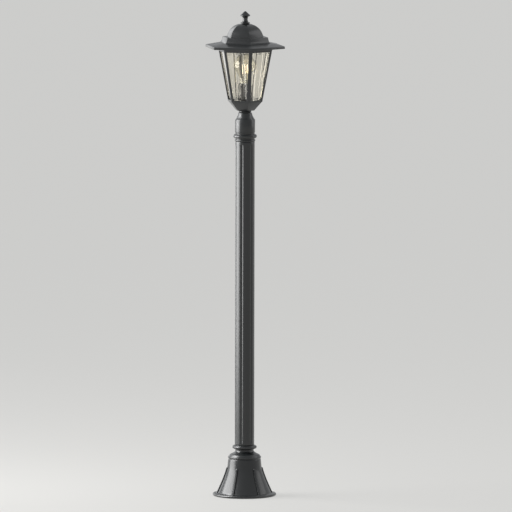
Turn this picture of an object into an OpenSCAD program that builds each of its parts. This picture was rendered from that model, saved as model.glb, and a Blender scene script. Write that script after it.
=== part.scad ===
// Lantern floor lamp: a hexagonal glazed lantern on a fluted pole with a ribbed bell foot.
// Millimetres, +Z up, origin at the centre of the underside of the foot.
// The six flats of the lantern face 0, 60, 120 ... degrees, so two of its corners lie on the Y axis.

/* [Foot] */
// Radius of the foot's rim
rim_r = 78.5; // [76:0.5:84]
// Height of the bell casting
bell_h = 118; // [116:1:122]
// Radius of the bell where the flare begins
bell_waist_r = 42.5; // [41:0.5:44]
// Radius of the bell just above the rim
bell_flare_r = 66.5; // [65:0.5:69]
// Wall of the bell casting
bell_wall = 3.4; // [3:0.1:4]
// How far each rib stands out of the flare
rib_h = 2.8; // [1.5:0.1:4]
// Angle that each rib spans
rib_angle = 7; // [5:0.5:9]
// Turn of the foot against the lantern
foot_turn = -8; // [-30:1:30]
// Circle of the three ground bolts
ground_pcd = 100; // [90:1:106]
// Diameter of the ground bolt holes
ground_hole_d = 7; // [5:0.5:9]

/* [Pole] */
// Diameter of the pole
pole_d = 48; // [47:0.5:49]
// Length of the pole between its collars
pole_l = 752; // [400:1:1400]
// Wall of the pole
pole_wall = 2.8; // [2.5:0.1:3]
// Width of a flute
flute_w = 6.2; // [4:0.1:8]
// Depth of a flute
flute_depth = 1.3; // [0.8:0.1:1.5]
// Plain length at each end of the pole
flute_end = 4; // [2:1:40]
// Outer diameter of the draw tube
draw_tube_d = 10; // [10:0.1:10.2]

/* [Lantern] */
// Corner radius of the glazed frame at its foot
frame_low_r = 43.5; // [42:0.1:45]
// Corner radius of the glazed frame at the top of its windows
frame_top_r = 67.2; // [65:0.1:68]
// Height of the windows
window_h = 120; // [116:1:122]
// Width of the frame on each side of a corner
post_w = 4.6; // [4:0.1:5.4]
// Thickness of a pane
pane_t = 3; // [2.6:0.1:3.4]
// Width of the bevel along the foot and head of a pane
bevel_w = 9; // [4:0.5:12]

/* [Roof] */
// Corner radius of the brim
brim_r = 102.8; // [100:0.1:106]
// Corner radius of the dome where it meets its ledge
dome_r = 47.2; // [46.5:0.1:48]
// Height of the dome above its ledge
dome_h = 31.5; // [30:0.1:33]
// Radius of the arc of the dome
dome_arc = 38.6; // [37:0.2:40]
// Wall of the roof casting
roof_wall = 3; // [2.6:0.1:3.4]

/* [Knob] */
// Radius of the knob's widest part
knob_r = 12.2; // [10.2:0.5:13.7]
// Height of the knob
knob_h = 30.7; // [29:0.1:34]

/* [Bulb] */
// Diameter of the bulb
bulb_d = 55; // [50:1:58]
// Length of the bulb
bulb_l = 99; // [96:1:104]
// Radius of the screw cap
cap_r = 13.15; // [13.1:0.05:13.2]

/* [Hidden] */
$fn = 48;
eps = 0.01;
paint = "#2b2d2e";

// Heights of the stack
plate_t = 3;
gasket_t = 1;
rim_gap = 0.5;
rim_round = 3.2;
flare_z = 8.2;
waist_z = bell_h - 49;
lower_collar_h = 8;
pole_z = bell_h + lower_collar_h;
head_z = pole_z + pole_l;
upper_collar_h = 7.5;
neck_ring_z = head_z + upper_collar_h;
neck_ring_h = 11.5;
neck_z = neck_ring_z + neck_ring_h;
neck_h = 52;
seat_z = neck_z + neck_h;
seat_h = 6;
pan_z = seat_z + seat_h;
pan_h = 22;
frame_z = pan_z + pan_h;
window_z = frame_z + 4.2;
window_top = window_z + window_h;
flange_z = window_top + 8.3;
flange_t = 2.5;
frame_top = flange_z + flange_t;
roof_gasket_t = 1.5;
roof_z = frame_top + roof_gasket_t;
brim_z = roof_z - 4;
brim_lip = 5.5;
brim_fall = 6;
ledge_z = brim_z + brim_lip + brim_fall + 16;
dome_top = ledge_z + dome_h;
dome_cz = dome_top - dome_arc;
dome_cr = dome_r - sqrt(pow(dome_arc, 2) - pow(ledge_z - dome_cz, 2));
knob_z = dome_top + 0.8;

// Radii shared by pieces that fit one another
pole_r = pole_d / 2;
pole_bore = pole_r - pole_wall;
spigot_r = pole_bore - 0.3;
boss_r = 15;
boss_bore = boss_r + 0.2;
tube_r = draw_tube_d / 2;
tube_bore = 3.9;
tube_clear = tube_r + 0.4;
thread_bite = 0.1;
plate_r = 73;
rim_inner = plate_r + 0.6;
gasket_inner = 66;
foot_screw_pcd = 120;
stud_r = 3;

// The lantern's flats lean outwards
taper = (frame_top_r - frame_low_r) / window_h;
lean = atan(taper * cos(30));
lip_t = 1.6;
pane_edge_t = 1.2;
pane_inset = 1.9;
// Width of a pane's thick middle as a share of the pane's
bevel_share = 0.56;
frame_screw_x = 27.2;
flange_screw_x = 49;

// Lampholder and bulb
holder_z = pan_z + 12;
holder_r = 17.8;
holder_seat = holder_z + 18;
holder_shell_h = 28;
insulator_h = 7;
bulb_z = holder_seat + 11;
cap_l = 26;
glass_z = bulb_z + cap_l;
bulb_top = bulb_z + bulb_l;
glass_t = 0.8;

function arc(cx, cz, r, from, to, n) =
    [for (i = [0:n]) let (a = from + (to - from) * i / n) [cx + r * cos(a), cz + r * sin(a)]];
function frame_r(z) = frame_low_r + (z - window_z) * taper;
function flare_r(t) = bell_waist_r + (bell_flare_r - bell_waist_r) * pow(t, 1.2);
function flare(offset, steps) =
    [for (i = [0:steps]) let (t = 1 - i / steps) [flare_r(t) + offset, waist_z - t * (waist_z - flare_z)]];

// ---- shared shapes ----

module ring(r, bore, z, h) {
    translate([0, 0, z]) difference() {
        cylinder(r = r, h = h);
        translate([0, 0, -eps]) cylinder(r = bore, h = h + 2 * eps);
    }
}

module hex_ring(r, inner_r, z, h) {
    rotate([0, 0, 30]) translate([0, 0, z]) difference() {
        cylinder(r = r, h = h, $fn = 6);
        translate([0, 0, -eps]) cylinder(r = inner_r, h = h + 2 * eps, $fn = 6);
    }
}

module hex_nut(across, bore, z, h) {
    translate([0, 0, z]) difference() {
        cylinder(r = across / 2 / cos(30), h = h, $fn = 6);
        translate([0, 0, -eps]) cylinder(r = bore, h = h + 2 * eps);
    }
}

// Frustum with six flats, corners turned onto the Y axis
module hex_frustum(r1, r2, z, h) {
    rotate([0, 0, 30]) translate([0, 0, z]) cylinder(r1 = r1, r2 = r2, h = h, $fn = 6);
}

// Flat plate in the leaning plane of the flat that faces +X, from height z0 to z1.
// A share below 1 narrows it in proportion to the flat's own width.
module leaning_plate(z0, z1, inset, depth, t, share = 1) {
    half_low = share * (frame_r(z0) / 2 - inset);
    half_high = share * (frame_r(z1) / 2 - inset);
    slant = (z1 - z0) / cos(lean);
    translate([frame_r(z0) * cos(30), 0, z0]) rotate([0, lean, 0]) translate([-depth - t, 0, 0])
        rotate([90, 0, 90]) linear_extrude(t)
            polygon([[-half_low, 0], [half_low, 0], [half_high, slant], [-half_high, slant]]);
}

module around(count, first = 0) {
    for (i = [0:count - 1]) rotate([0, 0, first + i * 360 / count]) children();
}

// Pan-head screw that stands at the origin with its head's seat at z = 0, head up
module pan_screw(head_r, head_h, shank_r, length) {
    cylinder(r = head_r, h = head_h);
    translate([0, 0, -length]) cylinder(r = shank_r, h = length + eps);
}

// ---- foot ----

module ground_plate() {
    color("#8d9194") difference() {
        union() {
            cylinder(r = plate_r, h = plate_t);
            translate([0, 0, plate_t - eps]) cylinder(r = 9, h = 13 + eps);
        }
        translate([0, 0, plate_t]) cylinder(r = tube_r - thread_bite, h = 14);
        around(3, 90) translate([ground_pcd / 2, 0, -eps]) cylinder(d = ground_hole_d, h = plate_t + 2 * eps);
        around(3, 30) translate([foot_screw_pcd / 2, 0, -eps]) {
            cylinder(r = 4, h = 1.8 + eps);
            cylinder(r = 2.2, h = plate_t + 1);
        }
        translate([0, -34, -eps]) {
            cylinder(r = 10, h = 1.2 + eps);
            cylinder(r = 8.1, h = plate_t + 1);
        }
        translate([24, -22, -eps]) cylinder(r = 2.4, h = plate_t + 1);
    }
}

module foot_gasket() {
    color("#161616") ring(plate_r, gasket_inner, plate_t, gasket_t);
}

// The cove from the bell's bead up to the seat of its collar
bell_cove = [[38.5, 99.5], [37, 102], [32.5, 104.4], [28, 107], [25, 108.6], [23, 111], [22.7, 113],
    [23.4, 115.6]];

function bell_outline() = concat(
    arc(rim_r - rim_round, rim_gap + rim_round, rim_round, -90, 80, 6),
    flare(0, 8),
    [[bell_waist_r - 1.7, waist_z + 18], [bell_waist_r - 2.3, bell_h - 26.6],
        [bell_waist_r - 3.3, bell_h - 25.6]],
    arc(bell_waist_r - 4.4, bell_h - 22.2, 3, -70, 80, 5),
    [for (p = bell_cove) [p[0], p[1] + bell_h - 118]],
    [[25, bell_h]]);

module bell_solid() {
    rotate_extrude() polygon(concat([[0, rim_gap]], bell_outline(), [[0, bell_h]]));
}

module bell_hollow() {
    rotate_extrude() polygon(concat(
        [[0, 0], [rim_inner, 0], [rim_inner, plate_t + gasket_t], [gasket_inner - 1.5, plate_t + gasket_t]],
        flare(-bell_wall, 8),
        [[bell_waist_r - 5, bell_h - 24], [bell_waist_r - 8, bell_h - 19], [28, bell_h - 16.5],
            [20, bell_h - 14], [0, bell_h - 14]]));
}

module bell_ribs() {
    around(6, foot_turn - rib_angle / 2) rotate_extrude(angle = rib_angle)
        polygon(concat(flare(-1, 8), [[bell_waist_r + 0.2, waist_z + 2.5]],
            [for (i = [0:8]) flare(rib_h, 8)[8 - i]], [[bell_flare_r + rib_h + 2, flare_z - 2],
            [bell_flare_r - 1, flare_z - 2]]));
}

module foot_bell() {
    color(paint) difference() {
        union() {
            difference() {
                union() {
                    bell_solid();
                    bell_ribs();
                }
                bell_hollow();
            }
            intersection() {
                around(3, 30) translate([foot_screw_pcd / 2, 0, plate_t]) cylinder(r = 5, h = 18);
                bell_solid();
            }
        }
        translate([0, 0, bell_h - 20]) cylinder(r = boss_bore, h = 21);
        around(3, 30) translate([foot_screw_pcd / 2, 0, plate_t - 1]) cylinder(r = 2 - thread_bite, h = 14);
    }
}

module foot_screws() {
    color("#b9bcc0") around(3, 30) translate([foot_screw_pcd / 2, 0, 1.8])
        mirror([0, 0, 1]) pan_screw(3.8, 1.5, 2, 12.5);
}

module cable_grommet() {
    color("#141414") translate([0, -34, 0]) rotate_extrude()
        polygon([[4.5, 0.2], [9.8, 0.2], [9.8, 1.2], [8, 1.2], [8, plate_t], [10.4, plate_t],
            [10.4, 4.4], [9.4, 5.5], [4.5, 5.5]]);
}

module terminal_block() {
    color("#d9d4c6") difference() {
        translate([-36, -15, plate_t]) cube([20, 30, 18]);
        for (y = [-9, 0, 9]) translate([-26, y, plate_t + 10]) {
            rotate([0, 90, 0]) cylinder(r = 2, h = 24, center = true);
            translate([-6, 0, 0]) cylinder(r = 2.2, h = 12);
            translate([6, 0, 0]) cylinder(r = 2.2, h = 12);
        }
    }
}

module earth_screw() {
    color("#c9a64a") translate([24, -22, plate_t]) {
        translate([0, 0, -2.5]) cylinder(r = 2.5, h = 2.5 + eps);
        cylinder(r = 5.5, h = 1);
        translate([0, 0, 1 - eps]) cylinder(r = 4.6, h = 3.5, $fn = 6);
    }
}

// ---- pole ----

module draw_tube() {
    color("#a8abae") difference() {
        ring(tube_r, tube_bore, plate_t + 1, holder_z + 10 - plate_t);
        translate([-tube_r - 1, -2.5, 42]) cube([tube_r + 1, 5, 20]);
    }
}

module lock_nut() {
    color("#a8abae") hex_nut(17, tube_r - thread_bite, plate_t + 13, 6);
}

module lower_collar() {
    color(paint) translate([0, 0, bell_h]) difference() {
        rotate_extrude() polygon(concat([[0, -6], [boss_r, -6], [boss_r, 0], [25.3, 0]],
            arc(26.3, 2.9, 4, -98, 85, 9),
            [[24.6, lower_collar_h], [spigot_r, lower_collar_h], [spigot_r, 22], [17, 22], [17, 8], [0, 8]]));
        translate([0, 0, -7]) cylinder(r = tube_clear, h = 16);
    }
}

// One flute: a round-bottomed groove that runs out at both ends
module flute() {
    cutter_r = (flute_w * flute_w / 4 + flute_depth * flute_depth) / (2 * flute_depth) + 0.35;
    run_out = 9;
    translate([pole_r - flute_depth + cutter_r, 0, flute_end + run_out]) {
        cylinder(r = cutter_r, h = pole_l - 2 * (flute_end + run_out));
        translate([0, 0, -run_out]) cylinder(r1 = cutter_r - flute_depth, r2 = cutter_r, h = run_out + eps);
        translate([0, 0, pole_l - 2 * (flute_end + run_out) - eps])
            cylinder(r1 = cutter_r, r2 = cutter_r - flute_depth, h = run_out + eps);
    }
}

module pole_tube() {
    color(paint) translate([0, 0, pole_z]) difference() {
        ring(pole_r, pole_bore, 0, pole_l);
        around(6) flute();
    }
}

module upper_collar() {
    color(paint) translate([0, 0, head_z]) difference() {
        rotate_extrude() polygon(concat([[0, 0], [17, 0], [17, -14], [spigot_r, -14], [spigot_r, 0], [23, 0]],
            arc(23, 3.1, 2.6, -75, 75, 6),
            [[23.9, 6], [23.9, upper_collar_h], [boss_r, upper_collar_h], [boss_r, 11], [0, 11]]));
        translate([0, 0, -1]) cylinder(r = tube_clear, h = 14);
    }
}

// ---- neck ----

module neck_ring() {
    color(paint) translate([0, 0, neck_ring_z]) rotate_extrude()
        polygon(concat([[boss_bore, 0], [23.9, 0], [23.9, 0.9]], arc(24.4, 5.8, 4.9, -75, 75, 8),
            [[24, 10.8], [24, neck_ring_h], [boss_bore, neck_ring_h]]));
}

module neck_coupling() {
    color(paint) translate([0, 0, neck_z]) difference() {
        rotate_extrude() polygon(concat([[0, -7.5], [boss_r, -7.5], [boss_r, 0], [24, 0], [24, 3.6],
            [24.8, 4.2], [24.8, 34.2], [24.4, 35.2]], arc(48, 56.6, 31.5, 221, 192, 6),
            [[16.8, neck_h], [0, neck_h]]));
        rotate_extrude() polygon([[0, 5], [21.4, 5], [21.4, 33], [14.2, 45], [0, 45]]);
        translate([0, 0, -8]) cylinder(r = tube_clear, h = neck_h + 9);
    }
}

module seat_ring() {
    color(paint) translate([0, 0, seat_z]) rotate_extrude()
        polygon(concat([[tube_clear, 0], [13.5, 0]], arc(13.1, seat_h / 2, 2.4, -70, 70, 6),
            [[13.5, seat_h], [tube_clear, seat_h]]));
}

// ---- lantern ----

module pan_solid() {
    hex_frustum(23.6, frame_low_r, pan_z, pan_h);
}

module lantern_pan() {
    color(paint) difference() {
        pan_solid();
        difference() {
            hex_frustum(19.6, frame_low_r - 2.6, pan_z + 4, pan_h - 4 + eps);
            around(3) translate([frame_screw_x, 0, pan_z + 11]) cylinder(r = 3.6, h = 12);
        }
        translate([0, 0, pan_z - 1]) cylinder(r = tube_clear, h = 7);
        around(3) translate([frame_screw_x, 0, frame_z - 8.5]) cylinder(r = 1.9, h = 10);
    }
}

module top_washer() {
    color("#a8abae") ring(11, tube_clear, pan_z + 4, 2);
}

module top_nut() {
    color("#a8abae") hex_nut(17, tube_r - thread_bite, pan_z + 6, 6);
}

module lantern_frame() {
    shell_top = frame_r(frame_top);
    color(paint) difference() {
        union() {
            difference() {
                union() {
                    hex_frustum(frame_r(frame_z), shell_top, frame_z, frame_top - frame_z);
                    hex_frustum(frame_low_r + 0.3, frame_low_r + 0.3, frame_z, 4);
                }
                hex_frustum(frame_r(frame_z) - lip_t * 1.17, shell_top - lip_t * 1.17, frame_z - eps,
                    frame_top - frame_z + 2 * eps);
                around(6) leaning_plate(window_z, window_top, post_w, -3, lip_t + 5);
            }
            hex_ring(frame_r(frame_z) - 0.5, 27, frame_z, 2.5);
            hex_ring(frame_low_r - 5.6, frame_low_r - 8.2, frame_z, 4.5);
            hex_ring(shell_top - 1, 53.1, flange_z, flange_t);
        }
        around(3) translate([frame_screw_x, 0, frame_z - 1]) cylinder(r = 2.2, h = 5);
        around(6) translate([flange_screw_x, 0, flange_z - 1]) cylinder(r = 1.9, h = 5);
    }
}

module frame_screws() {
    color("#b9bcc0") around(3) translate([frame_screw_x, 0, frame_z + 2.5]) pan_screw(3, 1.8, 2, 10);
}

// Clear pane with a bevel round its inner face, its side bevels widening with the pane
module glass_pane(i) {
    color([0.82, 0.86, 0.84, 0.35]) rotate([0, 0, 60 * (i - 1)]) hull() {
        leaning_plate(frame_z + 2.8, flange_z - 0.3, pane_inset, lip_t + 0.05, pane_edge_t);
        leaning_plate(frame_z + 2.8 + bevel_w, flange_z - 0.3 - bevel_w, pane_inset, lip_t + 0.05, pane_t,
            bevel_share);
    }
}

// One sprung clip behind the top edge of each pane
module pane_clips() {
    tongue = flange_z - 14;
    back = lip_t + pane_t + 0.1;
    color("#a8abae") around(6) difference() {
        intersection() {
            union() {
                leaning_plate(tongue, flange_z, 20, back, 0.9);
                translate([flange_screw_x - 4, -20, flange_z - 0.9]) cube([10, 40, 0.9]);
            }
            translate([20, -5, tongue - 5]) cube([60, 10, 19]);
        }
        translate([flange_screw_x, 0, flange_z - 3]) cylinder(r = 2.2, h = 5);
    }
}

// The clips that the strap's own screws don't hold have one each
module clip_screws() {
    color("#b9bcc0") for (turn = [60, 120, 240, 300]) rotate([0, 0, turn])
        translate([flange_screw_x, 0, frame_top]) pan_screw(3.4, 1.8, 2, 6);
}

// ---- roof ----

module roof_gasket() {
    color("#161616") hex_ring(frame_r(frame_top) - 1, 61.8, frame_top, roof_gasket_t);
}

module roof_strap() {
    crown = dome_top - 11.5;
    color("#8d9194") difference() {
        rotate([90, 0, 0]) translate([0, 0, -7]) linear_extrude(14) union() {
            difference() {
                polygon([[-45.5, frame_top], [-27.5, crown - 10.5], [-14.5, crown], [14.5, crown],
                    [27.5, crown - 10.5], [45.5, frame_top]]);
                polygon([[-43.3, frame_top - 1], [-25.9, crown - 11.7], [-13.8, crown - 2], [13.8, crown - 2],
                    [25.9, crown - 11.7], [43.3, frame_top - 1]]);
            }
            for (side = [-1, 1]) translate([side * 48 - 4.6, frame_top]) square([9.2, 2]);
        }
        translate([0, 0, crown - 3]) cylinder(r = stud_r + 0.2, h = 5);
        around(2) translate([flange_screw_x, 0, frame_top - 1]) cylinder(r = 2.2, h = 5);
    }
}

module strap_screws() {
    color("#b9bcc0") around(2) translate([flange_screw_x, 0, frame_top + 2]) pan_screw(3.4, 1.8, 2, 8);
}

module knob_stud() {
    color("#c2c5c8") {
        translate([0, 0, dome_top - 18.5]) cylinder(r = stud_r, h = 32);
        translate([0, 0, dome_top - 11.5]) cylinder(r = 5, h = 1.5);
    }
}

module stud_nut() {
    color("#a8abae") hex_nut(10, stud_r - thread_bite, dome_top - 18.5, 5);
}

function dome_line(offset, floor_z, from, n) = let (r = dome_arc - offset)
    arc(dome_cr, dome_cz, r, from, asin((floor_z - dome_cz) / r), n);
function roof_outline() = concat(
    [[0, dome_top], [8, dome_top]],
    dome_line(0, ledge_z, 86, 12),
    [[dome_r + 0.6, ledge_z - 0.6]],
    arc(58.2, ledge_z - 1.4, 1, 80, 10, 3),
    arc(71.5, ledge_z - 5.4, 11, 190, 236, 5),
    [[brim_r - 0.8, brim_z + brim_lip + 0.4], [brim_r, brim_z + brim_lip - 0.5], [brim_r, brim_z]]);

function roof_inside() = concat(
    [[brim_r - roof_wall, brim_z], [brim_r - roof_wall, brim_z + brim_lip - roof_wall],
        [frame_r(frame_top) + 1.6, brim_z + brim_lip + 1.2], [frame_r(frame_top) + 1.6, roof_z],
        [61.6, roof_z], [60.6, brim_z + brim_lip + 8], [56, ledge_z - roof_wall - 1]],
    [for (i = [9:-1:0]) dome_line(roof_wall, ledge_z - roof_wall, 84, 9)[i]],
    [[0, dome_top - roof_wall]]);

module roof() {
    color(paint) difference() {
        rotate([0, 0, 30]) rotate_extrude($fn = 6) polygon(concat(roof_outline(), roof_inside()));
        translate([0, 0, dome_top - 8]) cylinder(r = stud_r + 0.5, h = 10);
    }
}

module knob_washer() {
    color("#161616") ring(8.5, stud_r + 0.5, dome_top, 1.4);
}

module knob() {
    k = knob_r / 12.2;
    color(paint) translate([0, 0, knob_z]) difference() {
        rotate_extrude() polygon(concat([[0, 0.6], [8.8, 0.6], [8.8, 0]],
            arc(10.2, 1.6, 1.6, -90, 75, 5), [[8.2, 4]], arc(5.9, 5.6, 1.5, -50, 60, 4),
            [[6.2, 8.6], [6.1, 11], [6.5, 13.4], [7, 15.4], [8 * k, 16.9], [9.6 * k, 17.9]],
            arc(10.3 * k, 20, 1.9, -75, 55, 6),
            [[9.7 * k, 23], [7.7 * k, 24.8], [5.6 * k, knob_h - 4.1], [3.7 * k, knob_h - 2.3],
                [2 * k, knob_h - 0.9], [0, knob_h]]));
        translate([0, 0, -eps]) cylinder(r = stud_r + 0.1, h = 16);
    }
}

// ---- lampholder ----

module holder_base() {
    color("#1b1b1c") translate([0, 0, holder_z]) difference() {
        rotate_extrude() polygon([[0, 0], [9.5, 0], [12, 0.8], [holder_r, 7], [holder_r, 18], [13.8, 18],
            [13.8, 11], [0, 11]]);
        translate([0, 0, -1]) cylinder(r = tube_r - thread_bite, h = 13);
    }
}

module holder_insulator() {
    color("#e6e1d6") difference() {
        translate([0, 0, holder_seat]) cylinder(r = 15, h = insulator_h);
        for (x = [-8, 8]) translate([x, 0, holder_seat - 1]) cylinder(r = 1.6, h = insulator_h + 2);
    }
}

module holder_shell() {
    color("#1b1b1c") ring(holder_r, 15.2, holder_seat, holder_shell_h);
}

module holder_thread_shell() {
    color("#c9a64a") ring(14.1, cap_r + 0.35, holder_seat + insulator_h, 25);
}

module holder_contact() {
    color("#c9a64a") translate([0, 0, holder_seat + insulator_h]) {
        translate([-9, -3, 0]) cube([18, 6, 0.8]);
        translate([0, 0, 0.8 - eps]) cylinder(r1 = 4, r2 = 3, h = 3);
    }
}

module holder_ring() {
    color("#1b1b1c") translate([0, 0, holder_seat + holder_shell_h]) rotate_extrude()
        polygon([[14.3, 0], [holder_r + 0.6, 0], [holder_r + 0.6, 2.6], [15.8, 3.4], [15.8, 7.6],
            [15.3, 8.2], [14.3, 8.2]]);
}

// Route of the insulated lead in the XZ plane: out of the terminal block, through the side of the
// draw tube and up to the lampholder
lead_x = -26;
lead_bend = 18;
lead_angle = acos(1 + lead_x / (2 * lead_bend));
lead_z = plate_t + 22;
lead_in_z = lead_z + 2 * lead_bend * sin(lead_angle);
lead_route = concat([[lead_x, plate_t + 18]],
    arc(lead_x + lead_bend, lead_z, lead_bend, 180, 180 - lead_angle, 7),
    arc(-lead_bend, lead_in_z, lead_bend, -lead_angle * 6 / 7, 0, 6),
    [[0, holder_seat]]);

module inner_lead() {
    r = 2.1;
    sides = 10;
    last = len(lead_route) - 1;
    function along(i) = lead_route[min(i + 1, last)] - lead_route[max(i - 1, 0)];
    points = [for (i = [0:last]) let (d = along(i) / norm(along(i))) for (s = [0:sides - 1])
        let (a = s * 360 / sides, p = lead_route[i], side = r * cos(a))
            [p[0] + side * d[1], r * sin(a), p[1] - side * d[0]]];
    walls = [for (i = [0:last - 1]) for (s = [0:sides - 1]) let (n = (s + 1) % sides)
        [i * sides + s, (i + 1) * sides + s, (i + 1) * sides + n, i * sides + n]];
    ends = [[for (s = [0:sides - 1]) s], [for (s = [sides - 1:-1:0]) last * sides + s]];
    color("#2a2a2a") polyhedron(points, concat(walls, ends));
}

// ---- bulb ----

module bulb_tip() {
    color("#c9ccd0") translate([0, 0, bulb_z]) rotate_extrude()
        polygon([[0, 0], [3.4, 0], [4.6, 0.9], [4.8, 2.5], [0, 2.5]]);
}

module bulb_cap() {
    color("#c9ccd0") translate([0, 0, bulb_z]) rotate_extrude()
        polygon([[0, 2.5], [5.2, 2.5], [9.5, 5], [12.4, 7], [cap_r, 8.4], [cap_r, cap_l], [11.5, cap_l],
            [11.5, 9], [8.6, 7], [0, 5.5]]);
}

function envelope(r, top) = let (c = top - r)
    concat(arc(0, c, r, 90, -35, 14),
        [[r * 0.62, c - r * 0.9], [r * 0.51, c - r * 1.13], [r * 0.475, c - r * 1.35]]);

module bulb_glass() {
    r = bulb_d / 2;
    color([0.9, 0.9, 0.88, 0.4]) rotate_extrude() polygon(concat(
        envelope(r, bulb_top), [[13, glass_z]], [[13 - glass_t, glass_z]],
        [for (i = [17:-1:0]) envelope(r - glass_t, bulb_top - glass_t)[i]]));
}

module bulb_stem() {
    color([0.9, 0.92, 0.9, 0.5]) translate([0, 0, glass_z]) rotate_extrude()
        polygon([[0, 0], [12, 0], [12, 1], [7.5, 5], [5.4, 12], [5, 22], [4.4, 29], [2.4, 32], [0, 32]]);
}

module bulb_filament() {
    color("#f4d9a0") translate([0, 0, glass_z + 30]) {
        for (side = [-1, 1]) translate([side * 3, 0, 0]) rotate([0, side * 35, 0]) cylinder(r = 0.4, h = 15);
        translate([0, 0, 12]) rotate([90, 0, 0]) rotate_extrude(angle = 180)
            translate([11.6, 0]) circle(r = 0.7);
    }
}

ground_plate();
foot_gasket();
foot_bell();
foot_screws();
cable_grommet();
terminal_block();
earth_screw();
draw_tube();
lock_nut();
lower_collar();
pole_tube();
upper_collar();
neck_ring();
neck_coupling();
seat_ring();
lantern_pan();
top_washer();
top_nut();
lantern_frame();
frame_screws();
for (i = [1:6]) glass_pane(i);
pane_clips();
clip_screws();
roof_gasket();
roof_strap();
strap_screws();
knob_stud();
stud_nut();
roof();
knob_washer();
knob();
holder_base();
holder_insulator();
holder_shell();
holder_thread_shell();
holder_contact();
holder_ring();
inner_lead();
bulb_tip();
bulb_cap();
bulb_glass();
bulb_stem();
bulb_filament();
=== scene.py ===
import math

import bmesh
import bpy
from mathutils import Matrix, Quaternion, Vector


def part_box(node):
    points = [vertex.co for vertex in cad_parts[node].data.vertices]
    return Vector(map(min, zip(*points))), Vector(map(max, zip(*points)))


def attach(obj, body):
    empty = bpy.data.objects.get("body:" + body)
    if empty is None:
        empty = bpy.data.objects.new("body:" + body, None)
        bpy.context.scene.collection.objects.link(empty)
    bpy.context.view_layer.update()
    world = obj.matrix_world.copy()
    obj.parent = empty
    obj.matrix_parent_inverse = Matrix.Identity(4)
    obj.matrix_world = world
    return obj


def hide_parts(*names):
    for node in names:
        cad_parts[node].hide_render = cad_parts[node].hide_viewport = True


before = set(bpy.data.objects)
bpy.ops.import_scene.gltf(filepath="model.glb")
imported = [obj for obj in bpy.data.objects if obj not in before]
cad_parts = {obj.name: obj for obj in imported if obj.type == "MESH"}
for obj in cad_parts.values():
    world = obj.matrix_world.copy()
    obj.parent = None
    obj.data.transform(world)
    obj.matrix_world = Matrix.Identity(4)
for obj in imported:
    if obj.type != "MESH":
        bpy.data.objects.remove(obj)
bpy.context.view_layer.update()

mm = 0.001
flats = 6                      # the lantern is a hexagon, with corners on the Y axis
lantern = Matrix.Rotation(math.radians(30), 3, "Z")


# Where the CAD pieces begin and end, in millimetres above the ground.
def heights(node):
    low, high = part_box(node)
    return low.z / mm, high.z / mm


poleZ, headZ = heights("pole_tube")
bellTop = heights("foot_bell")[1]
plateTop = heights("foot_gasket")[0]
ringZ = heights("neck_ring")[0]
neckZ = heights("neck_ring")[1]
seatZ = heights("seat_ring")[0]
panZ, frameZ = heights("lantern_pan")
frameTop = heights("lantern_frame")[1]
brimZ = heights("roof")[0]
roofTop = heights("roof")[1]
knobZ = heights("knob")[0]
holderZ, holderSeat = heights("holder_base")
shellTop = heights("holder_shell")[1]
bulbZ, glassZ = heights("bulb_tip")[0], heights("bulb_cap")[1]
bulbTop = heights("bulb_glass")[1]


view = {
    "azimuth": -11.8, "elevation": 5.85,
    "lens": 800.0, "sensor": 36.0,
    "frameWidth": 1.262,       # metres across the picture at the lamp
    "aside": 0.0275,           # the lamp stands a little left of the middle
    "roll": 0.105,             # the picture hangs a touch out of plumb
    "middle": 0.5945,          # height at the middle of the picture
}


def makeCamera(v):
    turn, tilt = math.radians(v["azimuth"]), math.radians(v["elevation"])
    right = Vector((math.cos(turn), math.sin(turn), 0))
    back = Vector((math.sin(turn) * math.cos(tilt), -math.cos(turn) * math.cos(tilt),
                   math.sin(tilt)))
    target = right * v["aside"] + Vector((0, 0, v["middle"]))
    camera = bpy.data.objects.new("camera", bpy.data.cameras.new("camera"))
    camera.data.lens = v["lens"]
    camera.data.sensor_width = v["sensor"]
    camera.data.clip_end = 120
    camera.location = target + back * (v["lens"] / v["sensor"] * v["frameWidth"])
    level = (-back).to_track_quat("-Z", "Y")
    camera.rotation_euler = (level @ Quaternion((0, 0, 1), math.radians(v["roll"]))).to_euler()
    bpy.context.scene.collection.objects.link(camera)
    bpy.context.scene.camera = camera


makeCamera(view)
print("camera placed")


def paint(hexCode):
    channels = [int(hexCode[i:i + 2], 16) / 255 for i in (1, 3, 5)]
    return [c / 12.92 if c <= 0.04045 else ((c + 0.055) / 1.055) ** 2.4 for c in channels] + [1]


def add(material, kind, settings=None, inputs=None, stops=()):
    node = material.node_tree.nodes.new(kind)
    for name, value in (settings or {}).items():
        setattr(node, name, value)
    for name, value in (inputs or {}).items():
        if isinstance(value, bpy.types.NodeSocket):
            material.node_tree.links.new(value, node.inputs[name])
        else:
            node.inputs[name].default_value = value
    for i, (position, tone) in enumerate(stops):       # a ramp's stops, in hex colours or greys
        node.color_ramp.elements[i].position = position
        node.color_ramp.elements[i].color = paint(tone) if isinstance(tone, str) else [tone] * 3 + [1]
    return node


def newMaterial(name, **values):
    material = bpy.data.materials.new(name)
    material.use_nodes = True
    shader = material.node_tree.nodes["Principled BSDF"]
    for socket, value in values.items():
        shader.inputs[socket.replace("_", " ")].default_value = value
    return material, shader


def connect(material, shader, sockets):
    for name, output in sockets.items():
        material.node_tree.links.new(output, shader.inputs[name])


def perMetre(size):
    return 1 / (size * mm)     # noise scale for patches of that many millimetres


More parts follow.
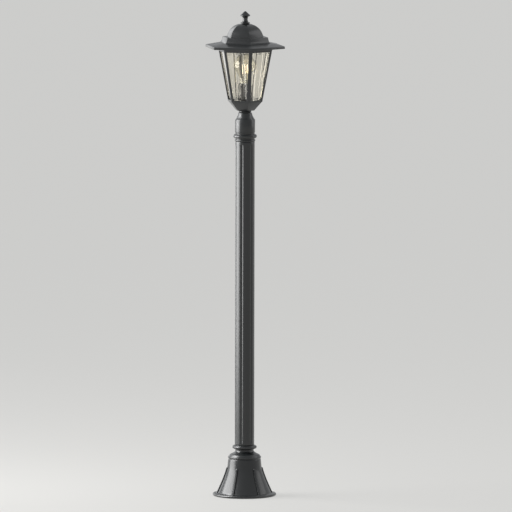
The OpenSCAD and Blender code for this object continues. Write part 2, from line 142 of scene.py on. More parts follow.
def powderCoat():
    # Polyester powder coat on cast aluminium: dark anthracite under a satin clear skin, with a fine
    # even grain and the soft swell of the casting under it. The real grain of about 0.5 mm is too
    # fine to show, so it is drawn at 1.4 mm.
    material, shader = newMaterial("powder_coat_on_cast_aluminium", IOR=1.5, Coat_Weight=0.6,
                                   Coat_Roughness=0.2, Coat_IOR=1.5)
    at = add(material, "ShaderNodeTexCoord").outputs["Object"]
    cloud = add(material, "ShaderNodeTexNoise",
                inputs={"Vector": at, "Scale": perMetre(60), "Detail": 3.0}).outputs["Fac"]
    grain = add(material, "ShaderNodeTexNoise",
                inputs={"Vector": at, "Scale": perMetre(1.4), "Detail": 2.0}).outputs["Fac"]
    swell = add(material, "ShaderNodeTexNoise",
                inputs={"Vector": at, "Scale": perMetre(11), "Detail": 2.0}).outputs["Fac"]
    colour = add(material, "ShaderNodeValToRGB", inputs={"Fac": cloud},
                 stops=[(0.3, "#17191a"), (0.7, "#1d2021")]).outputs["Color"]
    gloss = add(material, "ShaderNodeValToRGB", inputs={"Fac": cloud},
                stops=[(0.3, 0.3), (0.7, 0.38)]).outputs["Color"]
    low = add(material, "ShaderNodeBump",
              inputs={"Height": swell, "Distance": 0.25 * mm, "Strength": 0.35}).outputs["Normal"]
    fine = add(material, "ShaderNodeBump",
               inputs={"Height": grain, "Distance": 0.05 * mm, "Strength": 0.3,
                       "Normal": low}).outputs["Normal"]
    connect(material, shader, {"Base Color": colour, "Roughness": gloss, "Normal": fine,
                               "Coat Normal": low})
    return material


def platedMetal(name, light, dark, rough, patch):
    # Plated or rolled metal: faint cloudy patches of two close tones, brushed by tumbling. Real
    # scratches are too fine to show, so they are drawn at 0.8 mm.
    material, shader = newMaterial(name, Metallic=1.0)
    at = add(material, "ShaderNodeTexCoord").outputs["Object"]
    cloud = add(material, "ShaderNodeTexNoise",
                inputs={"Vector": at, "Scale": perMetre(patch), "Detail": 4.0}).outputs["Fac"]
    scratch = add(material, "ShaderNodeTexNoise",
                  inputs={"Vector": at, "Scale": perMetre(0.8), "Detail": 3.0}).outputs["Fac"]
    colour = add(material, "ShaderNodeValToRGB", inputs={"Fac": cloud},
                 stops=[(0.35, dark), (0.65, light)]).outputs["Color"]
    gloss = add(material, "ShaderNodeValToRGB", inputs={"Fac": scratch},
                stops=[(0.3, rough), (0.7, rough + 0.12)]).outputs["Color"]
    bump = add(material, "ShaderNodeBump",
               inputs={"Height": scratch, "Distance": 0.03 * mm, "Strength": 0.4}).outputs["Normal"]
    connect(material, shader, {"Base Color": colour, "Roughness": gloss, "Normal": bump})
    return material


def mouldedPart(name, light, dark, rough, grainSize, ior=1.5):
    # Moulded plastic, rubber or glazed ceramic: one colour with a faint mottle and a fine skin. The
    # real skin is too fine to show, so it is drawn at about a millimetre.
    material, shader = newMaterial(name, IOR=ior)
    at = add(material, "ShaderNodeTexCoord").outputs["Object"]
    mottle = add(material, "ShaderNodeTexNoise",
                 inputs={"Vector": at, "Scale": perMetre(9), "Detail": 3.0}).outputs["Fac"]
    skin = add(material, "ShaderNodeTexNoise",
               inputs={"Vector": at, "Scale": perMetre(grainSize), "Detail": 2.0}).outputs["Fac"]
    colour = add(material, "ShaderNodeValToRGB", inputs={"Fac": mottle},
                 stops=[(0.3, dark), (0.7, light)]).outputs["Color"]
    gloss = add(material, "ShaderNodeValToRGB", inputs={"Fac": skin},
                stops=[(0.3, rough), (0.7, rough + 0.08)]).outputs["Color"]
    bump = add(material, "ShaderNodeBump",
               inputs={"Height": skin, "Distance": 0.04 * mm, "Strength": 0.25}).outputs["Normal"]
    connect(material, shader, {"Base Color": colour, "Roughness": gloss, "Normal": bump})
    return material


def sodaLimeGlass(name, tint, rough, wave, depth):
    # Drawn or blown soda-lime glass: a faint warm body colour and a slight waviness.
    material, shader = newMaterial(name, IOR=1.52, Transmission_Weight=1.0, Roughness=rough,
                                   Base_Color=paint(tint))
    at = add(material, "ShaderNodeTexCoord").outputs["Object"]
    ripple = add(material, "ShaderNodeTexNoise",
                 inputs={"Vector": at, "Scale": perMetre(wave), "Detail": 1.0}).outputs["Fac"]
    bump = add(material, "ShaderNodeBump",
               inputs={"Height": ripple, "Distance": depth * mm, "Strength": 0.3}).outputs["Normal"]
    connect(material, shader, {"Normal": bump})
    return material


def glowingTungsten():
    # Tungsten wire at working heat: warm white, a little uneven along its length.
    material, shader = newMaterial("tungsten_filament", Metallic=1.0, Roughness=0.5,
                                   Base_Color=paint("#f5d9a8"), Emission_Strength=3.0)
    at = add(material, "ShaderNodeTexCoord").outputs["Object"]
    heat = add(material, "ShaderNodeTexNoise",
               inputs={"Vector": at, "Scale": perMetre(2.5)}).outputs["Fac"]
    warm = add(material, "ShaderNodeValToRGB", inputs={"Fac": heat},
               stops=[(0.3, "#ffeccf"), (0.7, "#fff7ea")]).outputs["Color"]
    connect(material, shader, {"Emission Color": warm})
    return material


coat = powderCoat()
zincPlate = platedMetal("zinc_plated_sheet_steel", "#b9bcbe", "#9a9da0", 0.34, 14)
brightSteel = platedMetal("plated_steel_fasteners", "#c9cbcc", "#b0b2b3", 0.24, 6)
pressedBrass = platedMetal("pressed_brass", "#c9a765", "#ab8a4b", 0.28, 5)
rolledAluminium = platedMetal("rolled_aluminium_cap", "#d5d6d6", "#bcbdbe", 0.25, 6)
holderPlastic = mouldedPart("phenolic_lampholder", "#1c1a19", "#141312", 0.16, 1.2, 1.6)
creamPlastic = mouldedPart("polyamide_terminal_block", "#d8d2c0", "#c8c1ad", 0.42, 1.0, 1.53)
softRubber = mouldedPart("epdm_rubber", "#1b1b1b", "#131313", 0.62, 0.8, 1.52)
glazedCeramic = mouldedPart("glazed_steatite", "#e5dfd0", "#d6cfbe", 0.16, 2.0, 1.55)
paneGlass = sodaLimeGlass("bevelled_float_glass", "#f5f2ea", 0.0, 45, 0.06)
bulbClear = sodaLimeGlass("blown_bulb_glass", "#f8f6ee", 0.0, 25, 0.1)
stemGlass = sodaLimeGlass("pressed_stem_glass", "#f6f1e2", 0.22, 4, 0.3)
filamentWire = glowingTungsten()
print("materials made")


# Profiles are (radius, height) points in millimetres.
def arc(cx, cz, r, start, end, steps):
    turns = [math.radians(start + (end - start) * i / steps) for i in range(steps + 1)]
    return [(cx + r * math.cos(t), cz + r * math.sin(t)) for t in turns]


def raised(points, z):
    return [(r, h + z) for r, h in points]


def spun(profile, steps, closed=True, sweep=360.0):
    bm = bmesh.new()
    rim = [bm.verts.new((r * mm, 0, z * mm)) for r, z in profile]
    line = [bm.edges.new(pair) for pair in zip(rim, rim[1:])]
    if closed:
        line.append(bm.edges.new((rim[-1], rim[0])))
    bmesh.ops.spin(bm, geom=rim + line, cent=(0, 0, 0), axis=(0, 0, 1), angle=math.radians(sweep),
                   steps=steps, use_merge=sweep == 360.0)
    if sweep != 360.0:
        bmesh.ops.holes_fill(bm, edges=[e for e in bm.edges if e.is_boundary], sides=0)
    bmesh.ops.remove_doubles(bm, verts=bm.verts, dist=1e-6)
    bmesh.ops.recalc_face_normals(bm, faces=bm.faces)
    return bm


def hexSpun(profile, closed=True):
    bm = spun(profile, flats, closed)
    bmesh.ops.rotate(bm, verts=bm.verts, cent=(0, 0, 0), matrix=lantern)
    return bm


def softened(bm, width, segments=2, sharp=22):
    edges = [e for e in bm.edges if e.is_manifold and e.calc_face_angle(0) > math.radians(sharp)]
    bmesh.ops.bevel(bm, geom=edges, offset=width * mm, offset_type="OFFSET", segments=segments,
                    profile=0.5, affect="EDGES", material=-1, clamp_overlap=True)
    return bm


def joined(parts):
    whole = bmesh.new()
    for part in parts:
        mesh = bpy.data.meshes.new("part")
        part.to_mesh(mesh)
        part.free()
        whole.from_mesh(mesh)
        bpy.data.meshes.remove(mesh)
    return whole


def around(bm, count, first=0.0):
    copies = []
    for i in range(count):
        copy = bm.copy()
        bmesh.ops.rotate(copy, verts=copy.verts, cent=(0, 0, 0),
                         matrix=Matrix.Rotation(math.radians(first + i * 360 / count), 3, "Z"))
        copies.append(copy)
    bm.free()
    return joined(copies)


def finished(name, bm, material, body="root", replaced=(), smooth=32):
    mesh = bpy.data.meshes.new(name)
    bm.to_mesh(mesh)
    bm.free()
    mesh.materials.append(material)
    mesh.shade_smooth()
    mesh.set_sharp_from_angle(angle=math.radians(smooth))
    piece = bpy.data.objects.new(name, mesh)
    bpy.context.scene.collection.objects.link(piece)
    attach(piece, body)
    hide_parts(*replaced)
    return piece


bell = {"rim": 78.5, "rimRound": 3.2, "gap": 0.5, "waist": 42.5, "flareFoot": 66.5, "flareLow": 8.2,
        "neckDrop": 49.0, "wall": 3.4, "ribHeight": 2.8, "ribAngle": 7.0, "turn": -8.0, "steps": 144}


def flare(offset, steps, b=bell):
    waistZ = bellTop - b["neckDrop"]
    stops = [1 - i / steps for i in range(steps + 1)]
    return [(b["waist"] + (b["flareFoot"] - b["waist"]) * t ** 1.2 + offset,
             waistZ - t * (waistZ - b["flareLow"])) for t in stops]


def footBell(b=bell):
    waist, top = b["waist"], bellTop
    cove = [(38.5, -18.5), (37, -16), (34.6, -14.6), (32.5, -13.6), (29.5, -12.2), (28, -11), (26, -9.9),
            (24.2, -8.6), (23, -6.6), (22.7, -4.6), (23.4, -2.4), (25, 0)]
    outside = (arc(b["rim"] - b["rimRound"], b["gap"] + b["rimRound"], b["rimRound"], -90, 80, 10)
               + flare(0, 22)
               + [(waist - 1.7, top - 31), (waist - 2.3, top - 26.6), (waist - 3.3, top - 25.9)]
               + arc(waist - 4.4, top - 22.2, 3, -70, 80, 10) + raised(cove, top))
    inside = [(15.2, top), (15.2, top - 14), (28, top - 16.5), (waist - 8, top - 19),
              (waist - 5, top - 24)]
    inside += flare(-b["wall"], 22)[::-1]
    inside += [(64.5, plateTop + 1), (73.6, plateTop + 1), (73.6, b["gap"])]
    shell = softened(spun(outside + inside, b["steps"]), 0.5)
    side = (flare(-1.2, 22) + [(waist - 0.6, top - b["neckDrop"] + 2.2)]
            + flare(b["ribHeight"], 22)[::-1]
            + [(b["flareFoot"] + 4, 5.5), (b["flareFoot"] - 1, 5.5)])
    rib = spun(side, 5, sweep=b["ribAngle"])
    ribs = around(softened(rib, 1.2, 3, 40), 6, b["turn"] - b["ribAngle"] / 2)
    finished("bell_foot", joined([shell, ribs]), coat, replaced=["foot_bell"])


lowCollar = {"bead": 26.3, "beadRound": 4.0, "height": 8.0, "spigot": 20.9, "spigotBore": 17.0,
             "spigotLength": 14.0, "nose": 15.0, "noseLength": 6.0, "bore": 5.4}


def lowerCollar(c=lowCollar):
    top, tip = c["height"], c["height"] + c["spigotLength"]
    lip = (arc(c["bead"], 2.9, c["beadRound"], -98, 85, 16)
           + [(24.6, top), (c["spigot"], top), (c["spigot"], tip), (c["spigotBore"], tip),
              (c["spigotBore"], top), (c["bore"], top), (c["bore"], -c["noseLength"]),
              (c["nose"], -c["noseLength"]), (c["nose"], 0), (25.3, 0)])
    finished("lower_collar_ring", softened(spun(raised(lip, bellTop), 96), 0.35), coat,
             replaced=["lower_collar"])


footBell()
lowerCollar()
print("foot made")


pole = {"radius": 24.0, "wall": 2.8, "segments": 300, "fluteWidth": 6.4, "fluteDepth": 1.35,
        "plainEnd": 3.4, "runOut": 9.6}
sixth = math.radians(60)       # from one flute to the next


def fluteDepth(x, y, z, p=pole):
    turn = math.atan2(y, x)
    aside = (turn / sixth - round(turn / sixth)) * sixth * p["radius"]
    fromEnd = min(z - poleZ, headZ - z) - p["plainEnd"]
    reach = min(1, max(0, fromEnd / p["runOut"]))
    half = p["fluteWidth"] / 2 * math.sqrt(reach * (2 - reach))
    if abs(aside) >= half:
        return 0
    deepest = p["fluteDepth"] * (half * 2 / p["fluteWidth"]) ** 2
    return deepest * (1 - (aside / half) ** 2)


def flutedPole(p=pole):
    outer, inner = p["radius"], p["radius"] - p["wall"]
    steps = [p["plainEnd"] + p["runOut"] * i / 12 for i in range(13)]
    ends = [0, 0.6] + steps
    levels = [poleZ + e for e in ends] + [headZ - e for e in ends[::-1]]
    profile = [(inner, poleZ)] + [(outer - (0.5 if i in (0, len(levels) - 1) else 0), z)
                                  for i, z in enumerate(levels)] + [(inner, headZ)]
    bm = spun(profile, p["segments"])
    for vert in bm.verts:
        if vert.co.xy.length > (outer - 1) * mm:
            cut = fluteDepth(vert.co.x, vert.co.y, vert.co.z / mm)
            vert.co.xy *= 1 - cut * mm / vert.co.xy.length
    finished("fluted_pole", bm, coat, replaced=["pole_tube"], smooth=50)


highCollar = {"bead": 23.0, "beadRound": 2.6, "shoulder": 23.9, "height": 7.5, "spigot": 20.9,
              "spigotBore": 17.0, "spigotLength": 14.0, "nose": 15.0, "noseLength": 3.5, "bore": 5.4}


def upperCollar(c=highCollar):
    top, tip = c["height"], c["height"] + c["noseLength"]
    lip = ([(c["spigotBore"], 0), (c["spigotBore"], -c["spigotLength"]),
            (c["spigot"], -c["spigotLength"]), (c["spigot"], 0), (c["bead"], 0)]
           + arc(c["bead"], 3.1, c["beadRound"], -75, 75, 10)
           + [(c["shoulder"], 6), (c["shoulder"], top), (c["nose"], top), (c["nose"], tip),
              (c["bore"], tip), (c["bore"], 0)])
    finished("upper_collar_ring", softened(spun(raised(lip, headZ), 96), 0.3), coat,
             replaced=["upper_collar"])


flutedPole()
upperCollar()
print("pole made")


neck = {"bead": 24.4, "beadRound": 4.9, "beadHeight": 11.5, "sleeve": 24.8, "sleeveFoot": 24.0,
        "straight": 34.2, "cove": 31.5, "top": 16.8, "height": 52.0, "inner": 21.4, "nose": 15.0,
        "seat": 13.1, "seatRound": 2.4, "seatHeight": 6.0, "bore": 5.4}


def neckPieces(n=neck):
    foot, bore, height = n["sleeveFoot"], n["bore"], n["height"]
    bead = ([(n["nose"] + 0.2, 0), (23.9, 0), (23.9, 0.9)]
            + arc(n["bead"], 5.8, n["beadRound"], -75, 75, 16)
            + [(foot, 10.8), (foot, n["beadHeight"]), (n["nose"] + 0.2, n["beadHeight"])])
    finished("neck_bead", softened(spun(raised(bead, ringZ), 96), 0.3), coat,
             replaced=["neck_ring"])
    sleeve = ([(bore, -7.5), (n["nose"], -7.5), (n["nose"], 0), (foot, 0), (foot, 3.6),
               (n["sleeve"], 4.2), (n["sleeve"], n["straight"]), (24.4, n["straight"] + 1)]
              + arc(48, 56.6, n["cove"], 221, 192, 12)
              + [(n["top"], height), (bore, height), (bore, height - 7), (14.2, height - 7),
                 (n["inner"], 33), (n["inner"], 5), (bore, 5)])
    finished("neck_sleeve", softened(spun(raised(sleeve, neckZ), 96), 0.35), coat,
             replaced=["neck_coupling"])
    seat = ([(bore, 0), (13.5, 0)] + arc(n["seat"], n["seatHeight"] / 2, n["seatRound"], -70, 70, 8)
            + [(13.5, n["seatHeight"]), (bore, n["seatHeight"])])
    finished("neck_seat", spun(raised(seat, seatZ), 72), coat, replaced=["seat_ring"])


neckPieces()
print("neck made")


glazing = {"lowRadius": 43.5, "highRadius": 67.2, "sill": 4.2, "windowHeight": 120.0, "post": 4.6,
           "lip": 1.6, "paneInset": 1.9, "paneEdge": 1.4, "paneThick": 3.0, "bevel": 4.0,
           "band": 25.0, "groove": 3.0, "grooveDepth": 0.9}
toFlat = math.cos(math.radians(30))        # from a hexagon's corner radius to its flats
windowZ = frameZ + glazing["sill"]
windowTop = windowZ + glazing["windowHeight"]
cornerSlope = (glazing["highRadius"] - glazing["lowRadius"]) / glazing["windowHeight"]
lean = math.atan(cornerSlope * toFlat)


def cornerRadius(z):
    return glazing["lowRadius"] + (z - windowZ) * cornerSlope


pan = {"foot": 23.6, "wall": 4.0, "rimWall": 2.6, "bore": 5.4}


def lanternPan(p=pan):
    low, high, floor = p["foot"], glazing["lowRadius"], panZ + p["wall"]
    profile = [(p["bore"], panZ), (low, panZ), (high, frameZ), (high - p["rimWall"], frameZ),
               (low - p["wall"], floor), (p["bore"], floor)]
    finished("lantern_pan_casting", softened(hexSpun(profile), 0.5, 3), coat,
             replaced=["lantern_pan"])


def windowShell(g=glazing):
    post = g["post"]
    bm = hexSpun([(cornerRadius(z), z) for z in (frameZ, windowTop + post, frameTop)], False)
    bands = [f for f in bm.faces if f.calc_center_median().z / mm < windowTop]
    bmesh.ops.inset_individual(bm, faces=bands, thickness=post * mm, use_even_offset=True)
    bmesh.ops.delete(bm, geom=bands, context="FACES")
    bmesh.ops.recalc_face_normals(bm, faces=bm.faces)
    if sum(f.normal.dot(f.calc_center_median()) for f in bm.faces) < 0:
        bmesh.ops.reverse_faces(bm, faces=bm.faces)
    bmesh.ops.solidify(bm, geom=bm.faces, thickness=g["lip"] * mm)
    return softened(bm, 0.35, 2)


def lanternFrame(g=glazing):
    sillRadius, topRadius = g["lowRadius"] + 0.3, cornerRadius(frameTop)
    sill = hexSpun([(sillRadius - 4, frameZ), (sillRadius, frameZ), (sillRadius, frameZ + 3.8),
                    (sillRadius - 2, frameZ + 4.1)])
    floor = hexSpun([(27, frameZ + 0.2), (sillRadius - 3, frameZ + 0.2), (sillRadius - 3, frameZ + 2.5),
                     (27, frameZ + 2.5)])
    upstand = hexSpun([(g["lowRadius"] - 8.2, frameZ + 2), (g["lowRadius"] - 5.6, frameZ + 2),
                       (g["lowRadius"] - 5.6, frameZ + 4.5), (g["lowRadius"] - 8.2, frameZ + 4.5)])
    flange = hexSpun([(53.1, frameTop - 2.5), (topRadius - 1, frameTop - 2.5), (topRadius - 1, frameTop),
                      (53.1, frameTop)])
    parts = [windowShell()] + [softened(p, 0.4) for p in (sill, floor, upstand, flange)]
    finished("lantern_cage", joined(parts), coat, replaced=["lantern_frame"])


def bevelledPane(number, g=glazing):
    low, high = frameZ + 2.8, frameTop - 2.8
    slant = (high - low) / math.cos(lean)
    bm = bmesh.new()
    outline = []
    for z, end in ((low, -1), (high, 1)):
        half = cornerRadius(z) / 2 - g["paneInset"]
        outline += [(-half * -end, end * slant / 2), (half * -end, end * slant / 2)]
    behind = (g["lip"] + 0.05) * mm
    outerFace = bm.faces.new([bm.verts.new((-behind, y * mm, z * mm)) for y, z in outline])
    face = outerFace
    steps = ((g["paneEdge"], 1), (g["paneThick"] - g["paneEdge"], 1 - 2 * g["bevel"] / slant))
    for depth, tall in steps:
        region = bmesh.ops.extrude_face_region(bm, geom=[face])["geom"]
        if face is not outerFace:      # the face between the two steps would lie inside the glass
            bmesh.ops.delete(bm, geom=[face], context="FACES_ONLY")
        face = [f for f in region if isinstance(f, bmesh.types.BMFace)][0]
        bmesh.ops.translate(bm, verts=face.verts, vec=(-depth * mm, 0, 0))
        bmesh.ops.scale(bm, verts=face.verts, vec=(1, 1, tall))
    for vert in face.verts:        # the thick middle is a band of one width
        vert.co.y = math.copysign(g["band"] / 2 * mm, vert.co.y)
    for step in (-1, 1):           # the ground V-groove that runs inside the bevel
        bmesh.ops.inset_region(bm, faces=[face], thickness=g["groove"] / 2 * mm, use_even_offset=True)
        bmesh.ops.translate(bm, verts=face.verts, vec=(-step * g["grooveDepth"] * mm, 0, 0))
    bmesh.ops.recalc_face_normals(bm, faces=bm.faces)
    bmesh.ops.translate(bm, verts=bm.verts, vec=(0, 0, slant / 2 * mm))
    bmesh.ops.rotate(bm, verts=bm.verts, cent=(0, 0, 0), matrix=Matrix.Rotation(lean, 3, "Y"))
    bmesh.ops.translate(bm, verts=bm.verts, vec=(cornerRadius(low) * toFlat * mm, 0, low * mm))
    bmesh.ops.rotate(bm, verts=bm.verts, cent=(0, 0, 0),
                     matrix=Matrix.Rotation(math.radians(60 * (number - 1)), 3, "Z"))
    pane = finished(f"pane_{number}", bm, paneGlass,
                    replaced=[f"glass_pane_{number}"], smooth=5)
    pane.visible_shadow = False    # lets the light through to the bulb


lanternPan()
lanternFrame()
for number in range(1, flats + 1):
    bevelledPane(number)
print("lantern made")


roofShape = {"brim": 102.8, "dome": 47.2, "domeArc": 38.6, "wall": 3.0, "lip": 5.5, "rise": 16.0,
             "fall": 6.0}


def roofCasting(r=roofShape):
    ledge = brimZ + r["lip"] + r["fall"] + r["rise"]
    centre = roofTop - r["domeArc"]
    spread = math.degrees(math.asin((ledge - centre) / r["domeArc"]))
    inSpread = math.degrees(math.asin((ledge - r["wall"] - centre) / (r["domeArc"] - r["wall"])))
    middle = r["dome"] - r["domeArc"] * math.cos(math.radians(spread))
    outside = ([(3.5, roofTop)] + arc(middle, centre, r["domeArc"], 88, spread, 22)
               + [(r["dome"] + 0.6, ledge - 0.6)] + arc(58.2, ledge - 1.4, 1, 80, 10, 4)
               + arc(71.5, ledge - 5.4, 11, 190, 236, 8)
               + [(r["brim"] - 0.8, brimZ + r["lip"] + 0.4), (r["brim"], brimZ + r["lip"] - 0.5),
                  (r["brim"], brimZ)])
    seat = cornerRadius(frameTop) + 1.6
    inside = ([(r["brim"] - r["wall"], brimZ), (r["brim"] - r["wall"], brimZ + r["lip"] - r["wall"]),
               (seat, brimZ + r["lip"] + 1.2), (seat, frameTop + 1.5), (61.6, frameTop + 1.5),
               (60.6, brimZ + r["lip"] + 8), (56, ledge - r["wall"] - 1)]
              + arc(middle, centre, r["domeArc"] - r["wall"], inSpread, 86, 14)
              + [(3.5, roofTop - r["wall"])])
    bm = softened(hexSpun(outside + inside), 0.8, 3, 20)
    finished("roof_casting", bm, coat, "roof", ["roof"])


knobShape = {"foot": 10.2, "footRound": 1.6, "ring": 5.9, "ringRound": 1.5, "disc": 10.3,
             "discRound": 1.9, "discHeight": 20.0, "thread": 3.1, "threadDepth": 16.0}


def roofKnob(k=knobShape):
    profile = ([(0, k["threadDepth"]), (k["thread"], k["threadDepth"]), (k["thread"], 0.6),
                (8.8, 0.6), (8.8, 0)]
               + arc(k["foot"], k["footRound"], k["footRound"], -90, 75, 8) + [(8.2, 4)]
               + arc(k["ring"], 5.6, k["ringRound"], -50, 60, 8)
               + [(6.3, 8.2), (6.12, 9.4), (6.1, 11), (6.3, 12.4), (6.6, 13.8), (7, 15.4),
                  (7.8, 16.7), (9.2, 17.7)]
               + arc(k["disc"], k["discHeight"], k["discRound"], -78, 52, 12)
               + [(10.6, 22.4), (9.7, 23), (8.7, 23.9), (7.6, 24.9), (6.5, 25.9), (5.4, 26.9),
                  (4.4, 27.9), (3.4, 28.8), (2.3, 29.7), (1.1, 30.45), (0, 30.7)])
    bm = spun(raised(profile, knobZ), 72, closed=False)
    finished("roof_knob", bm, coat, "knob", ["knob"], smooth=40)


roofCasting()
roofKnob()
print("roof made")


holder = {"radius": 17.8, "inner": 15.2, "bore": 4.9, "baseHeight": 18.0, "baseFloor": 11.0,
          "ring": 18.4, "ringBore": 14.3, "ringHeight": 8.2}


def lampholder(h=holder):
    outer, top, floor = h["radius"], h["baseHeight"], h["baseFloor"]
    base = [(h["bore"], 0), (9.5, 0), (12, 0.8), (outer, 7), (outer, top), (outer - 4, top),
            (outer - 4, floor), (h["bore"], floor)]
    finished("lampholder_base", softened(spun(raised(base, holderZ), 72), 0.5), holderPlastic,
             replaced=["holder_base"])
    skirt = [(h["inner"], holderSeat), (outer, holderSeat), (outer, shellTop), (h["inner"], shellTop)]
    finished("lampholder_skirt", softened(spun(skirt, 72), 0.4), holderPlastic,
             replaced=["holder_shell"])
    rim = [(h["ringBore"], 0), (h["ring"], 0), (h["ring"], 2.6), (15.8, 3.4), (15.8, 7.6),
           (15.3, h["ringHeight"]), (h["ringBore"], h["ringHeight"])]
    finished("lampholder_rim", softened(spun(raised(rim, shellTop), 72), 0.25), holderPlastic,
             replaced=["holder_ring"])


bulb = {"radius": 27.5, "wall": 0.8, "capRadius": 13.15, "pitch": 3.629, "threads": 5, "stem": 32.0,
        "cage": 6.4, "cageRise": 14.0, "cageDrop": 8.0, "strands": 11, "wire": 0.45, "hook": 0.22,
        "rod": 1.0}


def screwCap(b=bulb):
    threads = []
    for i in range(b["threads"] * 10 + 1):
        z = 8.6 + i * b["pitch"] / 10 * 0.94
        threads.append((b["capRadius"] - 0.65 + 0.65 * math.sin(i / 10 * 2 * math.pi), min(z, 25.4)))
    profile = [(0, 5.5), (8.6, 7), (11.5, 9), (11.5, 26), (b["capRadius"], 26), (b["capRadius"], 25.8)]
    profile += threads[::-1]
    profile += [(12.2, 7), (9.5, 5), (5.2, 2.5), (0, 2.5)]
    bm = spun(raised(profile, bulbZ), 72, closed=False)
    finished("bulb_screw_cap", bm, rolledAluminium, "bulb", ["bulb_cap"])


# The waist of the bulb, as shares of its radius: out from the axis and down from its middle.
neckCurve = [(0.71, 0.74), (0.62, 0.89), (0.55, 1.02), (0.51, 1.13), (0.485, 1.25), (0.475, 1.35)]


def envelope(r, top):
    middle = top - r
    return (arc(0, middle, r, 90, -35, 28)
            + [(r * out, middle - r * down) for out, down in neckCurve])


def bulbGlass(b=bulb):
    r, wall = b["radius"], b["wall"]
    outer = envelope(r, bulbTop) + [(13, glassZ)]
    inner = [(13 - wall, glassZ)] + envelope(r - wall, bulbTop - wall)[::-1]
    piece = finished("bulb_envelope", spun(outer + inner, 72, closed=False), bulbClear,
                     "bulb", ["bulb_glass"], smooth=60)
    piece.visible_shadow = False
    stem = [(0, 0), (12, 0), (12, 1), (9.4, 2.6), (7.5, 5), (6.2, 8.4), (5.4, 12), (5, 22),
            (4.4, b["stem"] - 3), (3.6, b["stem"] - 1), (2.4, b["stem"]), (0, b["stem"])]
    piece = finished("bulb_stem_glass", spun(raised(stem, glassZ), 48, closed=False), stemGlass,
                     "bulb", ["bulb_stem"], smooth=60)
    piece.visible_shadow = False


def tubeAlong(points, radius, sides=8):
    curve = bpy.data.curves.new("wire", "CURVE")
    curve.dimensions = "3D"
    curve.bevel_depth = radius * mm
    curve.bevel_resolution = sides // 4
    curve.use_fill_caps = True
    line = curve.splines.new("POLY")
    line.points.add(len(points) - 1)
    for target, point in zip(line.points, points):
        target.co = (point[0] * mm, point[1] * mm, point[2] * mm, 1)
    wire = bpy.data.objects.new("wire", curve)
    bm = bmesh.new()
    bm.from_mesh(wire.to_mesh())
    bpy.data.objects.remove(wire)
    bpy.data.curves.remove(curve)
    bmesh.ops.remove_doubles(bm, verts=bm.verts, dist=1e-6)
    bmesh.ops.recalc_face_normals(bm, faces=bm.faces)
    return bm


def filament(b=bulb):
    # A squirrel-cage filament: one glowing wire laced up and down between two rings of hooks.
    foot, head = glassZ + b["stem"] - b["cageDrop"], glassZ + b["stem"] + b["cageRise"]
    lacing = []
    hooks = []
    for i in range(b["strands"] + 1):
        turn = math.radians(20 + 320 * i / b["strands"])
        hook = (b["cage"] * math.cos(turn), b["cage"] * math.sin(turn), head if i % 2 else foot)
        lacing.append(hook)
        inner = (1.2 * math.cos(turn), 1.2 * math.sin(turn), head - 2 if i % 2 else foot + 4)
        hooks.append(tubeAlong([inner, hook], b["hook"]))
    hooks.append(tubeAlong([(0, 0, glassZ + b["stem"] - 2), (0, 0, head - 1)], b["rod"]))
    finished("bulb_filament_wire", tubeAlong(lacing, b["wire"]), filamentWire, "bulb",
             ["bulb_filament"])
    finished("bulb_support_wires", joined(hooks), brightSteel, "bulb",
             ["bulb_filament"])


lampholder()
screwCap()
bulbGlass()
filament()
print("lampholder and bulb made")


kept = {                       # CAD pieces that stay, by finish
    zincPlate: ["ground_plate", "roof_strap"],
    brightSteel: ["foot_screws", "frame_screws", "strap_screws", "clip_screws", "knob_stud",
                  "stud_nut", "top_nut", "lock_nut", "top_washer", "draw_tube", "pane_clips"],
    softRubber: ["foot_gasket", "cable_grommet", "roof_gasket", "knob_washer", "inner_lead"],
    pressedBrass: ["earth_screw", "holder_thread_shell", "holder_contact"],
    creamPlastic: ["terminal_block"],
    glazedCeramic: ["holder_insulator"],
    rolledAluminium: ["bulb_tip"],
}
for material, names in kept.items():
    for name in names:
        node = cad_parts[name]
        node.data.materials.clear()
        node.data.materials.append(material)
print("kept pieces finished")


lighting = {"world": 0.5, "floorLift": 0.61, "key": 109, "rim": 1.4, "high": 25, "overFoot": 10,
            "fill": 10}       # lamps in watts


def softBox(name, azimuth, distance, height, width, tall, power, aim=0.6, spread=180, level=False):
    # Faces the lamp at the height of aim, or straight down when level.
    light = bpy.data.lights.new(name, "AREA")
    light.shape = "RECTANGLE"
    light.size, light.size_y = width, tall
    light.energy = power
    light.spread = math.radians(spread)
    box = bpy.data.objects.new(name, light)
    turn = math.radians(azimuth)
    box.location = (math.sin(turn) * distance, -math.cos(turn) * distance, height)
    if level:
        box.rotation_euler = (0, 0, turn)
    else:
        box.rotation_euler = (Vector((0, 0, aim)) - box.location).to_track_quat("-Z", "Y").to_euler()
    bpy.context.scene.collection.objects.link(box)


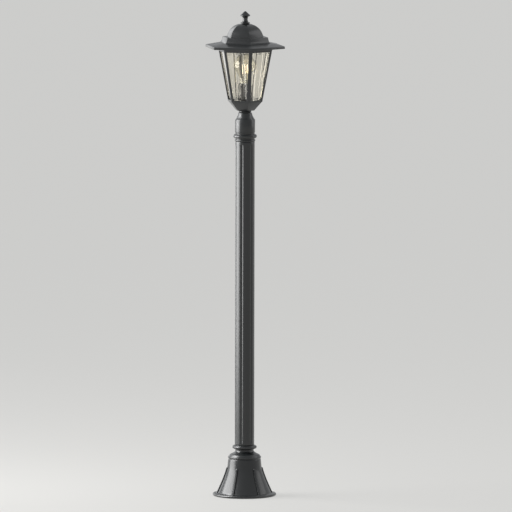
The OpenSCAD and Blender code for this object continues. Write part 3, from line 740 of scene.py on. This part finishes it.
def paleFloor():
    # Painted studio floor: matt and pale. What the camera, gloss and glass see of it is lifted towards
    # white, and its own shading keeps the shadow.
    material, shader = newMaterial("painted_studio_floor", Roughness=1.0, Specular_IOR_Level=0.1,
                                   Base_Color=paint("#5b5a58"))
    shader.inputs["Emission Color"].default_value = paint("#f4f4f2")
    ray = add(material, "ShaderNodeLightPath").outputs
    direct = add(material, "ShaderNodeMath", {"operation": "MAXIMUM"},
                 {0: ray["Is Camera Ray"], 1: ray["Is Glossy Ray"]}).outputs["Value"]
    seen = add(material, "ShaderNodeMath", {"operation": "MAXIMUM"},
               {0: direct, 1: ray["Is Transmission Ray"]}).outputs["Value"]
    lift = add(material, "ShaderNodeMath", {"operation": "MULTIPLY"},
               {0: seen, 1: lighting["floorLift"]}).outputs["Value"]
    connect(material, shader, {"Emission Strength": lift})
    return material


def studio():
    bm = bmesh.new()
    bmesh.ops.create_grid(bm, x_segments=1, y_segments=1, size=120)
    bmesh.ops.translate(bm, verts=bm.verts, vec=(0, 0, -0.3 * mm))     # just under the ground plate
    mesh = bpy.data.meshes.new("studio_floor")
    bm.to_mesh(mesh)
    bm.free()
    floor = bpy.data.objects.new("studio_floor", mesh)
    bpy.context.scene.collection.objects.link(floor)
    mesh.materials.append(paleFloor())
    world = bpy.data.worlds.new("studio")
    world.use_nodes = True
    world.node_tree.nodes["Background"].inputs["Color"].default_value = paint("#f1f3f5")
    world.node_tree.nodes["Background"].inputs["Strength"].default_value = lighting["world"]
    bpy.context.scene.world = world
    side = view["azimuth"]
    softBox("key_left", side - 93, 2.4, 1.15, 2.3, 2.6, lighting["key"])
    softBox("rim_left", side - 153, 3.2, 1.4, 1.2, 2.8, lighting["rim"], 0.75, 60)
    softBox("high_left", side - 80, 2.3, 2.4, 1.3, 1.3, lighting["high"], 0.1)
    softBox("over_foot", side - 96, 0.8, 0.95, 0.5, 0.55, lighting["overFoot"], level=True)
    softBox("fill_right", side + 100, 2.4, 1.8, 1.4, 2.4, lighting["fill"])


studio()
bpy.context.scene.view_settings.view_transform = "Standard"
print("studio lit")
